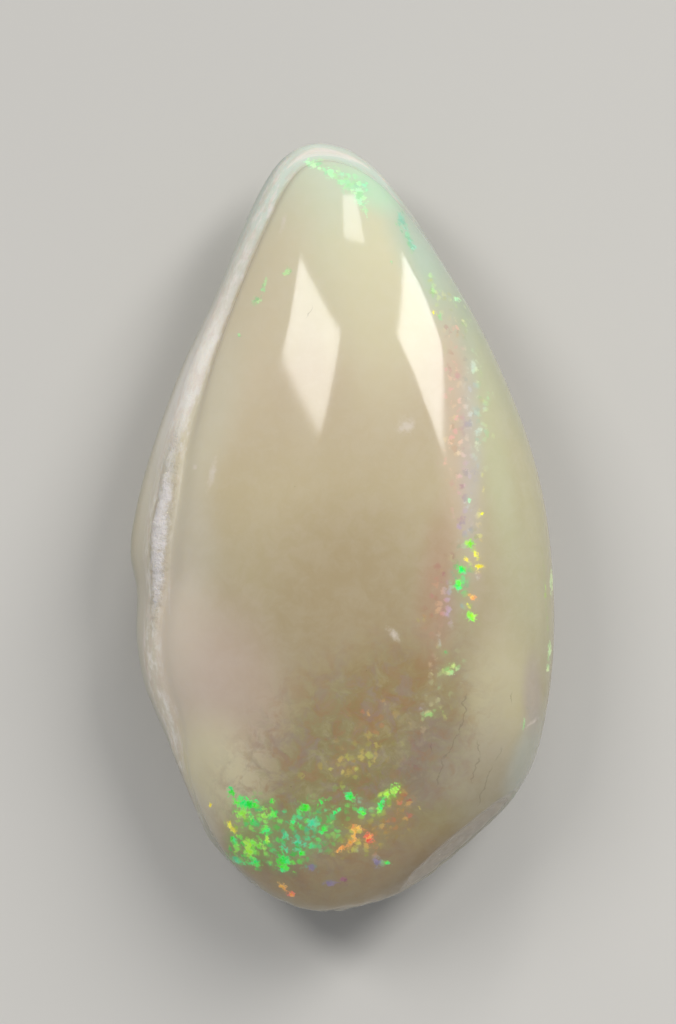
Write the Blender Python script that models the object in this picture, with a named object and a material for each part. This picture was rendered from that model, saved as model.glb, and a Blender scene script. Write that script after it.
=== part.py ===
"""Opalised clam: two closed shells turned to opal in one mass, lying on its back shell.

The long axis runs along Y with the beak at +Y, and the domed front shell faces +Z.
The origin is on the surface that the clam lies on, below the middle of its outline.
"""
import math

import bmesh
import bpy
import numpy as np

MM = 0.001

# Heights in millimetres, measured from the level of the widest line
FRONT_HEIGHT = 7.1
BACK_HEIGHT = 6.9

# The back shell is worn flat where its surface has turned this far down from the widest line
FLAT_RISE = math.radians(-75.0)
REST_DEPTH = -BACK_HEIGHT * math.sin(FLAT_RISE)

# Power of the front shell's profile: two would make it part of an ellipse, and more makes it
# flatter on top and steeper at the sides
FULLNESS = 2.6

# Middle of the outline, from which its radius is measured, and how far the crown of the
# front shell and the flat of the back shell lie to the side of it
MIDDLE = (0.0, -1.4)
FRONT_SHIFT = (2.2, 1.0)
BACK_SHIFT = (0.0, 1.45)

# Edge of the clam seen from above, clockwise from the beak. Each point has x, y and the
# height of the seam between the shells there, above or below the widest line
EDGE = (
    (-1.5, 21.0, 2.45),    # beak
    (0.3, 20.6, 2.5),
    (1.9, 19.4, 2.35),
    (3.4, 17.4, 1.75),
    (5.0, 15.2, 0.7),      # long shoulder on the right, where the seam turns under
    (7.6, 10.8, -0.4),
    (9.6, 6.3, -1.0),
    (10.9, 2.0, -1.4),
    (11.5, -2.6, -1.6),    # widest part on the right
    (11.5, -7.5, -1.6),
    (10.8, -11.9, -1.4),
    (9.7, -14.4, -1.0),
    (7.8, -16.5, -0.7),    # lower right corner, with a flake off
    (5.3, -18.7, -0.35),
    (3.2, -20.0, -0.15),
    (-0.1, -21.0, 0.0),    # foot of the outline
    (-2.5, -20.8, 0.15),
    (-4.7, -19.6, 0.3),
    (-6.7, -17.6, 0.7),
    (-8.4, -14.6, 1.65),
    (-9.5, -11.6, 2.95),   # the seam comes into view on the left
    (-10.7, -8.8, 3.3),
    (-11.2, -6.0, 3.7),
    (-11.15, -3.5, 4.15),
    (-11.55, -1.2, 4.45),  # bulge of the back shell, widest part on the left
    (-11.05, 1.8, 4.45),
    (-10.1, 5.0, 4.1),
    (-8.7, 8.8, 3.8),
    (-6.8, 12.8, 3.3),
    (-5.1, 17.0, 3.2),
    (-3.9, 19.4, 3.0),
    (-2.9, 20.6, 2.7),
)

# Seam: a groove that fades out at the foot, where the two shells are fused, with the back
# shell's margin swollen beside it on the left
GROOVE_DEPTH = 0.30
GROOVE_REACH = 0.58
SOFT_DEPTH = 0.15          # depth and reach below the middle, where the groove is worn soft
SOFT_REACH = 0.85
SOFT_SPAN = (2.0, 10.0)    # it turns from soft to firm between these places along the clam
HIDDEN_GROOVE = 0.16       # depth where the seam runs below the widest line
FUSED_HEIGHT = 1.3         # the groove is full where the seam is this far from the widest line
SWELL_HEIGHT = 0.22
SWELL_PLACE = -1.5         # middle of the swelling, beyond the groove
SWELL_REACH = 0.95
LEVER = 13.0               # radius that turns a small rise into a distance on the surface

# Rough crest on the swollen margin, in the middle of the left side
CREST_HEIGHT = 0.34
CREST_PLACE = -0.75
CREST_REACH = 0.45
CREST_MIDDLE = 0.2
CREST_LENGTH = 5.0

# Flakes broken from the rim: a point of each broken face and the way it faces
FLAKES = (
    ((7.4, -16.9, 0.0), (0.62, -0.74, 0.26)),
    ((-10.45, -9.4, 0.4), (-0.92, -0.38, 0.06)),
)

# Steps of the mesh: round the outline, and from the flat on the back up to the crown
SECTORS = 112
LEVELS = 36
SEAM_CROWDING = 1.35       # over one, it draws the levels together near the seam
TURN_STEPS = 1440
EDGE_WAVES = 42.0          # waves per turn kept in the edge itself
BODY_WAVES = 6.0           # waves per turn kept near the crown


def remove_objects():
    """Empty the scene."""
    for item in list(bpy.data.objects):
        bpy.data.objects.remove(item, do_unlink=True)


def closed_curve(points, steps):
    """Smooth closed curve through points, with a number of steps in each stretch."""
    count = len(points)
    rows = []
    for index in range(count):
        before, start, end, after = (points[(index + shift) % count] for shift in (-1, 0, 1, 2))
        for step in range(steps):
            t = step / steps
            rows.append(0.5 * (2 * start + (end - before) * t
                               + (2 * before - 5 * start + 4 * end - after) * t ** 2
                               + (3 * start - before - 3 * end + after) * t ** 3))
    return np.array(rows)


def slow_waves(values, waves):
    """Values given once round the outline, with only their slow waves kept."""
    spectrum = np.fft.rfft(values)
    fade = np.exp(-(np.arange(len(spectrum)) / waves) ** 2)
    return np.fft.irfft(spectrum * fade, len(values))


def outline_tables():
    """Radius of the edge, the same with slow waves only, and rise of the seam, all for even
    steps of angle."""
    curve = closed_curve(np.array(EDGE), 24)
    angle = np.arctan2(curve[:, 1] - MIDDLE[1], curve[:, 0] - MIDDLE[0]) % math.tau
    order = np.argsort(angle)
    radius = np.hypot(curve[:, 0] - MIDDLE[0], curve[:, 1] - MIDDLE[1])
    turn = np.arange(TURN_STEPS) * math.tau / TURN_STEPS
    radius = np.interp(turn, angle[order], radius[order], period=math.tau)
    height = np.interp(turn, angle[order], curve[order, 2], period=math.tau)
    lift = slow_waves(height, EDGE_WAVES) / FRONT_HEIGHT
    seam = np.arctan2(lift, (1 - np.abs(lift) ** FULLNESS) ** (1 / FULLNESS))
    return slow_waves(radius, EDGE_WAVES), slow_waves(radius, BODY_WAVES), seam


def at_angle(table, angle):
    """Value of a table for each angle."""
    turn = np.arange(TURN_STEPS) * math.tau / TURN_STEPS
    return np.interp(angle, turn, table, period=math.tau)


def bell(distance, reach):
    """Smooth bump: one at no distance and near nothing past twice the reach."""
    return np.exp(-(distance / reach) ** 2)


def surface_rise(latitude, seam):
    """How far round from the widest line the surface has risen. The sphere's equator goes to
    the seam, its top to the crown, and the ring at the flat's latitude to the flat's rim."""
    top = math.pi / 2
    above = np.clip(latitude / top, 0, 1) ** SEAM_CROWDING
    below = np.clip(latitude / FLAT_RISE, 0, 1) ** SEAM_CROWDING
    rise = np.where(latitude > 0, seam + (top - seam) * above, seam + (FLAT_RISE - seam) * below)
    return np.where(latitude < FLAT_RISE, latitude, rise)


def smooth_shells(rise, angle, edge, body):
    """Points of both shells without their relief."""
    front = rise > 0
    across = np.cos(rise)
    up = np.sin(rise)
    full = np.where(front, (across ** FULLNESS + np.abs(up) ** FULLNESS) ** (-1 / FULLNESS), 1.0)
    across = across * full
    up = up * full
    radius = across * (edge * across ** 3 + body * (1 - across ** 3))
    crown = up ** 2
    height = np.where(front, FRONT_HEIGHT, BACK_HEIGHT) * up
    return np.stack((
        MIDDLE[0] + radius * np.cos(angle) + crown * np.where(front, FRONT_SHIFT[0], BACK_SHIFT[0]),
        MIDDLE[1] + radius * np.sin(angle) + crown * np.where(front, FRONT_SHIFT[1], BACK_SHIFT[1]),
        np.maximum(height, -REST_DEPTH)), axis=1)


def relief(rise, seam, angle, edge):
    """Groove, swollen margin and rough crest, as moves away from the surface."""
    height = FRONT_HEIGHT * np.sin(seam) / FUSED_HEIGHT
    shown = np.clip(height, 0, 1)
    hidden = np.clip(-height, 0, 1)
    past = (rise - seam) * np.minimum(edge, LEVER)
    along = edge * np.sin(angle) + MIDDLE[1]
    left = np.clip(-2 * np.cos(angle), 0, 1)
    crest = left * bell(along - CREST_MIDDLE, CREST_LENGTH) * bell(past - CREST_PLACE, CREST_REACH)
    firm = np.clip((along - SOFT_SPAN[0]) / (SOFT_SPAN[1] - SOFT_SPAN[0]), 0, 1)
    depth = SOFT_DEPTH + (GROOVE_DEPTH - SOFT_DEPTH) * firm
    reach = SOFT_REACH + (GROOVE_REACH - SOFT_REACH) * firm
    move = SWELL_HEIGHT * shown * bell(past - SWELL_PLACE, SWELL_REACH) + CREST_HEIGHT * crest
    move -= (depth * shown + HIDDEN_GROOVE * hidden) * bell(past, reach)
    return move[:, None] * np.stack((
        np.cos(rise) * np.cos(angle), np.cos(rise) * np.sin(angle), np.sin(rise)), axis=1)


def strike_flakes(points):
    """Cut the rim back to each broken face."""
    for place, facing in FLAKES:
        normal = np.array(facing) / np.linalg.norm(facing)
        over = np.maximum((points - np.array(place)) @ normal, 0)
        points = points - over[:, None] * normal
    return points


def clam_points(directions):
    """Points of the clam in millimetres for directions from the middle of a sphere."""
    angle = np.arctan2(directions[:, 1], directions[:, 0]) % math.tau
    latitude = np.arcsin(np.clip(directions[:, 2], -1, 1))
    edge, body, seam = (at_angle(table, angle) for table in outline_tables())
    rise = surface_rise(latitude, seam)
    points = smooth_shells(rise, angle, edge, body) + relief(rise, seam, angle, edge)
    points = strike_flakes(points)
    middle = (points.max(axis=0) + points.min(axis=0)) / 2
    return points - (middle[0], middle[1], -REST_DEPTH)


def opal_material():
    """Milky warm opal, polished."""
    material = bpy.data.materials.new("milky opal")
    material.use_nodes = True
    shader = material.node_tree.nodes["Principled BSDF"]
    shader.inputs["Base Color"].default_value = (0.52, 0.44, 0.29, 1.0)
    shader.inputs["Roughness"].default_value = 0.15
    shader.inputs["Metallic"].default_value = 0.0
    shader.inputs["IOR"].default_value = 1.45
    return material


def build_clam():
    """The whole clam: one closed body, moved into shape from a sphere."""
    mesh = bpy.data.meshes.new("opalized_clam")
    shape = bmesh.new()
    bmesh.ops.create_uvsphere(shape, u_segments=SECTORS, v_segments=LEVELS, radius=1.0)
    shape.to_mesh(mesh)
    shape.free()
    directions = np.empty(len(mesh.vertices) * 3)
    mesh.vertices.foreach_get("co", directions)
    points = clam_points(directions.reshape(-1, 3)) * MM
    mesh.vertices.foreach_set("co", points.ravel())
    mesh.materials.append(opal_material())
    mesh.shade_smooth()
    mesh.update()
    clam = bpy.data.objects.new("opalized_clam", mesh)
    bpy.context.scene.collection.objects.link(clam)
    return clam


remove_objects()
build_clam()
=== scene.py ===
"""Opalised clam lying on a pale floor, seen from straight above.

Both shells are one mass of milky opal. Distances are in millimetres unless a name says metres.
"""
import math

import bmesh
import bpy
import numpy as np
from mathutils import Matrix, Vector, noise


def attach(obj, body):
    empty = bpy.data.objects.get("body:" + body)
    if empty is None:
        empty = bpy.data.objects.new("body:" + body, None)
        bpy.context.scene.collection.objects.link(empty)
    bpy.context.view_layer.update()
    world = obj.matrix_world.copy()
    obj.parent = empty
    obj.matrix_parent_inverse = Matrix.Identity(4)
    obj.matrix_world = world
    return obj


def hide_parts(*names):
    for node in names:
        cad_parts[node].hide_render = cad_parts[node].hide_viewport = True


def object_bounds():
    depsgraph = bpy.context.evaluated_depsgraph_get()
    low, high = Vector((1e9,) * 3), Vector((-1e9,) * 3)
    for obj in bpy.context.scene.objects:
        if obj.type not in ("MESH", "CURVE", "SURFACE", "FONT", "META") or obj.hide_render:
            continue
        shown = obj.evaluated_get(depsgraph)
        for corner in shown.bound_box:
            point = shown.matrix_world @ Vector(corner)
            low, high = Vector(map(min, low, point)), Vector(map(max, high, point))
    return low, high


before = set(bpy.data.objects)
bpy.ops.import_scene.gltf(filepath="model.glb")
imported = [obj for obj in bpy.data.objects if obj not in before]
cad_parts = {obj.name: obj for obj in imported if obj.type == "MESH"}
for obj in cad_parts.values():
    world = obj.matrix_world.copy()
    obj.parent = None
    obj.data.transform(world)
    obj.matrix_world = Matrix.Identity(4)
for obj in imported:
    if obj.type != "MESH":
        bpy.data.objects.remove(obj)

cad_box = [list(corner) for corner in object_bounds()]

MM = 0.001

# The clam's form: the same values as in the solid, with finer steps and fine relief

FRONT_HEIGHT = 7.1         # crown of the front shell above the level of the widest line
BACK_HEIGHT = 6.9
FLAT_RISE = math.radians(-75.0)
REST_DEPTH = -BACK_HEIGHT * math.sin(FLAT_RISE)
FULLNESS = 2.6             # power of the front shell's profile
MIDDLE = (0.0, -1.4)
FRONT_SHIFT = (2.2, 1.0)
BACK_SHIFT = (0.0, 1.45)

# Edge seen from above, clockwise from the beak: x, y and the height of the seam there
EDGE = (
    (-1.5, 21.0, 2.45), (0.3, 20.6, 2.5), (1.9, 19.4, 2.35), (3.4, 17.4, 1.75),
    (5.0, 15.2, 0.7), (7.6, 10.8, -0.4), (9.6, 6.3, -1.0), (10.9, 2.0, -1.4),
    (11.5, -2.6, -1.6), (11.5, -7.5, -1.6), (10.8, -11.9, -1.4), (9.7, -14.4, -1.0),
    (7.8, -16.5, -0.7), (5.3, -18.7, -0.35), (3.2, -20.0, -0.15), (-0.1, -21.0, 0.0),
    (-2.5, -20.8, 0.15), (-4.7, -19.6, 0.3), (-6.7, -17.6, 0.7), (-8.4, -14.6, 1.65),
    (-9.5, -11.6, 2.95), (-10.7, -8.8, 3.3), (-11.2, -6.0, 3.7), (-11.15, -3.5, 4.15),
    (-11.55, -1.2, 4.45), (-11.05, 1.8, 4.45), (-10.1, 5.0, 4.1), (-8.7, 8.8, 3.8),
    (-6.8, 12.8, 3.3), (-5.1, 17.0, 3.2), (-3.9, 19.4, 3.0), (-2.9, 20.6, 2.7),
)

# Seam: a groove that fades out at the foot, with the back shell's margin swollen beside it
GROOVE_DEPTH = 0.30
GROOVE_REACH = 0.58
SOFT_DEPTH = 0.15          # depth and reach below the middle, where the groove is worn soft
SOFT_REACH = 0.85
SOFT_SPAN = (2.0, 10.0)    # it turns from soft to firm between these places along the clam
HIDDEN_GROOVE = 0.16       # depth where the seam runs below the widest line
FUSED_HEIGHT = 1.3         # the groove is full where the seam is this far from the widest line
SWELL_HEIGHT = 0.22
SWELL_PLACE = -1.5         # middle of the swelling, beyond the groove
SWELL_REACH = 0.95
LEVER = 13.0               # radius that turns a small rise into a distance on the surface

# Rough crest on the swollen margin, in the middle of the left side
CREST_HEIGHT = 0.34
CREST_PLACE = -0.75
CREST_REACH = 0.45
CREST_MIDDLE = 0.2
CREST_LENGTH = 5.0

# Broken faces: a point of each, the way it faces, and how far apart its shell-like ripples are
FLAKES = (
    ((7.4, -16.9, 0.0), (0.62, -0.74, 0.26), 0.9),
    ((-10.45, -9.4, 0.4), (-0.92, -0.38, 0.06), 0.7),
)
RIPPLE_DEPTH = 0.05

# Steps of the mesh round the outline and up from the flat, and the level where each shell starts
SECTORS = 560
LEVELS = 176
BACK_START = 9
FRONT_START = 46
SEAM_CROWDING = 1.35       # over one, it draws the levels together near the seam
CURVE_STEPS = 24           # steps of the outline from one of its points to the next
TURN_STEPS = 1440
EDGE_WAVES = 42.0          # waves per turn kept in the edge itself
BODY_WAVES = 6.0           # waves per turn kept near the crown

# Fine relief: size of the grain, its height, and a shift that keeps the patterns from matching
POLISH = (4.5, 0.010, 3.0)           # hand polish leaves the dome faintly uneven
CREST_CHIPS = (0.55, 0.16, 11.0)
CREST_GRAIN = (0.22, 0.08, 17.0)
RIM_CRINKLE = (0.9, 0.09, 31.0)
LIP_CRINKLE = (0.8, 0.045, 41.0)     # the margin is only roughly ground
LIP_STRETCH = (1.0, 0.4, 1.0)        # its crinkles are longer along the clam
GROWTH_SPACING = 0.55                # growth lines on the margin
GROWTH_HEIGHT = 0.006
GROWTH_WAVER = (3.0, 6.0, 23.0)      # their bends, with radians in place of a height
LEAST_GRAIN = 0.01                   # relief is left out where less than this share shows

# Where the fine relief starts and is full: on the margin past the seam, from either side, and
# on the rim along the clam and away from the widest line
MARGIN_NEAR, MARGIN_FAR = (-0.2, -0.6), (-5.0, -3.0)
RIM_FOOT, RIM_LEVEL = (-15.5, -17.5), (3.0, 1.0)
CREST_SPREAD = 1.3         # it is rough a little further than it is raised
BREAK_EDGE = 0.15          # a broken face is full where this much is gone

# Colours, as sRGB hex. The stops run from the foot of the clam to its beak.

BODY_STOPS = (
    (0.0, "#B3A07C"), (0.08, "#A89371"), (0.14, "#A19669"), (0.24, "#A89970"), (0.34, "#B0A384"),
    (0.55, "#C6B896"), (0.70, "#CCBDA1"), (0.86, "#D6D3B5"), (0.97, "#CDD9C2"),
)
MARGIN_STOPS = (
    (0.0, "#C1B8A8"), (0.2, "#D1CAB9"), (0.42, "#CDC6B4"), (0.5, "#D6CFBB"), (0.58, "#DDD8C9"),
    (0.66, "#EAE7E0"), (0.72, "#E9E6DE"), (0.79, "#DDDAD0"), (0.92, "#CEDACF"),
)
LIP_WHITE = "#E8E3DA"
LIP_ROSE = "#D2BDAE"
# Painted shade: tan darkening laid along the groove, where its hollow is in shade
GROOVE_PAINTED_SHADE = "#B9A386"
CREST_WHITE = "#F2ECE8"
# Painted light: grey-blue laid round the widest line, standing in for light seen through the stone's edge
RIM_PAINTED_EDGE_LIGHT = "#A9B1A6"
# Grey of the broken faces, made paler as painted light where they face away from the lights
BREAK_GREY_AND_PAINTED_LIGHT = "#BDB1A0"
SCUFF_WHITE = "#E2D8CC"
# Painted glints: white dots that stand in for light caught by rough facets
PAINTED_GLINT_WHITE = "#FFF6E2"
MOTTLE_OLIVE = "#928A58"
MOTTLE_RUST = "#A57E5A"
MOTTLE_MAUVE = "#9A877E"
MOTTLE_PALE = "#C2B98E"
CRACK_GREY = "#6B6350"

# Soft patches under the polish, with paler patches on the steep flanks that are partly painted light:
# place, half length, half width, turn in degrees, colour and how much of it shows. The first list is on
# the front shell and the second on the back.
FRONT_PATCHES = (
    (-4.8, 11.5, 2.2, 7.0, -17, "#D4C7AA", 0.7),       # tan inside the groove
    (-7.4, 6.0, 1.5, 5.0, -15, "#D3CCB4", 0.7),
    (-8.4, -1.0, 1.6, 3.4, 0, "#CDC6B4", 0.6),
    (2.2, 12.5, 2.6, 5.5, 0, "#E0DAB6", 0.5),          # yellow-cream below the beak
    (5.2, 14.4, 1.6, 4.6, 27, "#B8CEBD", 0.8),         # green-grey right shoulder
    (7.9, 9.3, 1.2, 4.6, 27, "#B4BEA4", 0.75),
    (2.0, 18.6, 1.8, 1.2, -30, "#C0E8C6", 0.7),        # mint beside the beak
    # Painted light: made paler where the steep right flank turns from the lights
    (9.6, 1.0, 1.9, 9.5, 8, "#C0BE9D", 0.7),           # pale right flank
    (8.0, 4.8, 0.8, 5.0, 10, "#CACCA8", 0.5),
    (6.1, 5.0, 0.9, 6.5, 4, "#D8C7B0", 0.5),           # rose streak with a violet one beside it
    (6.95, 3.6, 0.6, 5.5, 2, "#C9C7C2", 0.35),
    (5.0, -4.0, 1.0, 4.5, -6, "#BC967F", 0.5),
    # Painted light: made paler where the steep left flank turns from the lights
    (-8.8, -8.5, 2.6, 6.0, 8, "#E2D5C4", 0.8),         # mauve-grey low on the left
    (-5.6, -9.4, 2.6, 4.8, 8, "#C9B5A5", 0.7),
    (0.4, -4.5, 4.2, 5.5, 0, "#A9946F", 0.5),          # darker middle
    (1.4, -11.6, 4.6, 3.4, 35, "#8B8256", 0.6),        # olive and orange-brown stains
    (3.0, -8.8, 2.8, 2.6, 20, "#9E8656", 0.6),
    (4.6, -12.4, 1.6, 2.6, -10, "#94857D", 0.6),
    # Painted light: made paler where the steep left flank is in shade
    (-7.0, -13.4, 2.4, 3.0, 20, "#DFD7B3", 0.75),
    (-7.8, -15.8, 0.9, 2.2, 25, "#CFC8B8", 0.6),
    # Painted light: made paler where the steep right flank turns from the lights
    (8.6, -9.3, 1.8, 3.8, 0, "#CDC5A3", 0.8),
    (7.6, -13.4, 2.2, 2.8, -10, "#B4AA98", 0.6),
    (10.0, -12.6, 0.8, 2.6, -18, "#B9BDB2", 0.7),      # clearer, bluish rim
    (10.3, -9.0, 0.5, 2.0, 0, "#B6A8A6", 0.5),
    (6.0, -18.4, 4.0, 1.4, 35, "#84755F", 0.7),
)
BACK_PATCHES = (
    (-3.0, 8.0, 5.0, 7.0, 15, "#D0CAB2", 0.8),
    (3.5, 1.0, 4.0, 6.0, -20, "#BFB08F", 0.7),
    (-4.5, -8.0, 4.5, 5.5, 10, "#AFA18C", 0.8),
    (4.5, -12.0, 4.0, 3.5, 0, "#9C967C", 0.7),
    (0.0, 17.0, 3.0, 4.0, 0, "#C6D6C0", 0.8),
)
MOTTLE_PLACE = (0.4, -12.9, 7.0, 4.6, 45)

# Flecks of fire: place, half length, half width and turn in degrees
HUES = {
    "green": "#34EE50", "teal": "#50D488", "lime": "#9CEE48", "mint": "#B4EAB0",
    "yellow": "#F0E83F", "amber": "#F4AC4A", "red": "#FF8648", "pale_green": "#A9D094",
    "sea": "#92C8A8", "rose": "#D2AC9B", "blush": "#C08C78", "peach": "#DCBC9A",
    "violet": "#B2A7C4", "ice": "#C0D0CE", "pale_lime": "#C0D898", "gold": "#D2BA5E",
    "plum": "#9C6C78", "rust": "#CC8858", "olive": "#A8A858", "slate": "#8C9C94",
    "moss": "#62D862", "iris": "#93869F",
}
FRONT_FLECKS = {
    "mint": (
        (-1.55, 19.75, 0.5, 0.26, -25), (-0.6, 19.25, 0.5, 0.26, -35), (0.3, 18.6, 0.5, 0.3, -30),
        (0.95, 18.0, 0.3, 0.5, 15), (1.2, 17.3, 0.14, 0.4, 15), (6.21, 12.37, 0.22, 0.16, 0),
        (6.84, 1.49, 0.13, 0.22, 0),
    ),
    "pale_green": (
        (-4.22, 13.1, 0.12, 0.42, -12), (-4.62, 12.3, 0.26, 0.2, 0), (-2.95, 13.85, 0.24, 0.2, 20),
        (2.69, 14.35, 0.08, 0.2, 0), (4.9, 12.8, 0.14, 0.34, 0), (5.3, 11.4, 0.12, 0.3, 0),
        (-5.57, 10.41, 0.13, 0.13, 0), (9.82, -10.6, 0.07, 0.32, -5),
    ),
    "sea": ((3.2, 16.75, 0.22, 0.45, 0), (3.55, 15.9, 0.16, 0.5, 15), (3.85, 15.2, 0.16, 0.28, 0)),
    "green": (
        (-5.19, -14.87, 0.81, 0.32, -4), (-4.79, -14.93, 0.32, 0.18, 0), (-6.0, -14.21, 0.2, 0.26, 15),
        (-3.81, -14.73, 0.17, 0.17, 0), (-2.62, -15.88, 0.29, 0.18, 0), (-2.01, -15.07, 0.29, 0.29, 0),
        (-1.05, -16.3, 0.32, 0.21, 15), (-3.16, -18.04, 0.45, 0.42, 0), (-3.2, -18.43, 0.32, 0.23, 0),
        (-5.92, -16.88, 0.23, 0.21, 0), (0.41, -14.42, 0.32, 0.31, 0), (1.1, -15.27, 0.28, 0.2, 0),
        (-0.28, -15.27, 0.45, 0.14, 25), (-1.12, -14.73, 0.35, 0.14, 40), (2.1, -14.92, 0.2, 0.42, -25),
        (-3.66, -15.46, 0.23, 0.2, 0), (-4.19, -16.36, 0.35, 0.26, 0), (-4.81, -15.88, 0.21, 0.2, 0),
        (-4.73, -18.14, 0.29, 0.28, 0), (-2.2, -17.64, 0.17, 0.21, 0), (2.48, -18.11, 0.2, 0.14, 0),
        (6.4, -2.21, 0.23, 0.28, 0), (6.28, -3.05, 0.26, 0.28, 0),
    ),
    "teal": (
        (-1.66, -15.92, 0.25, 0.34, 0), (-3.2, -17.34, 0.34, 0.16, 0), (-2.43, -17.03, 0.31, 0.24, 0),
        (-5.73, -18.04, 0.34, 0.2, -20), (-3.04, -16.65, 0.26, 0.21, 0), (-1.66, -17.18, 0.23, 0.17, 0),
    ),
    "lime": (
        (-4.96, -17.18, 0.41, 0.35, 0), (-5.08, -17.62, 0.3, 0.4, 10), (-4.49, -17.18, 0.29, 0.21, 0),
        (-4.04, -16.88, 0.18, 0.23, 0), (-5.4, -15.45, 0.46, 0.3, 0), (-4.16, -15.51, 0.28, 0.21, 0),
        (2.87, -14.05, 0.26, 0.34, -15), (2.41, -14.36, 0.17, 0.23, -20), (-5.73, -17.41, 0.21, 0.29, 0),
        (1.96, -15.23, 0.15, 0.18, 0), (6.86, -0.83, 0.26, 0.23, 0), (6.93, -4.74, 0.32, 0.28, 0),
    ),
    "pale_lime": ((11.25, -6.6, 0.1, 0.5, 0), (11.15, -7.6, 0.1, 0.25, 0), (11.35, -2.9, 0.1, 0.7, 0)),
    "iris": ((1.86, -18.05, 0.22, 0.24, 0), (-1.68, -18.4, 0.2, 0.24, 0), (-0.7, -19.25, 0.24, 0.18, 0)),
    "plum": ((0.1, -19.05, 0.22, 0.24, 0),),
    "yellow": (
        (-5.88, -16.36, 0.32, 0.14, -38), (-6.13, -16.03, 0.15, 0.17, 0), (4.17, -15.1, 0.1, 0.1, 0),
        (6.66, -1.67, 0.15, 0.18, 0), (7.36, -2.06, 0.28, 0.17, 0), (6.78, -4.17, 0.1, 0.18, 0),
        (7.2, -1.4, 0.14, 0.21, 10), (4.97, 11.63, 0.11, 0.16, 0), (7.54, 0.79, 0.12, 0.12, 0),
        (-7.15, -15.07, 0.13, 0.15, 0),
    ),
    "amber": (
        (0.76, -16.15, 0.37, 0.17, -10), (0.64, -16.65, 0.15, 0.46, -15), (-0.05, -17.34, 0.35, 0.15, 35),
        (-3.23, -19.47, 0.35, 0.18, -38), (0.49, -16.95, 0.28, 0.18, 30), (7.01, -3.71, 0.26, 0.14, -20),
    ),
    "red": ((1.45, -16.72, 0.26, 0.32, 0), (-2.77, -19.89, 0.2, 0.2, -30)),
}

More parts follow.
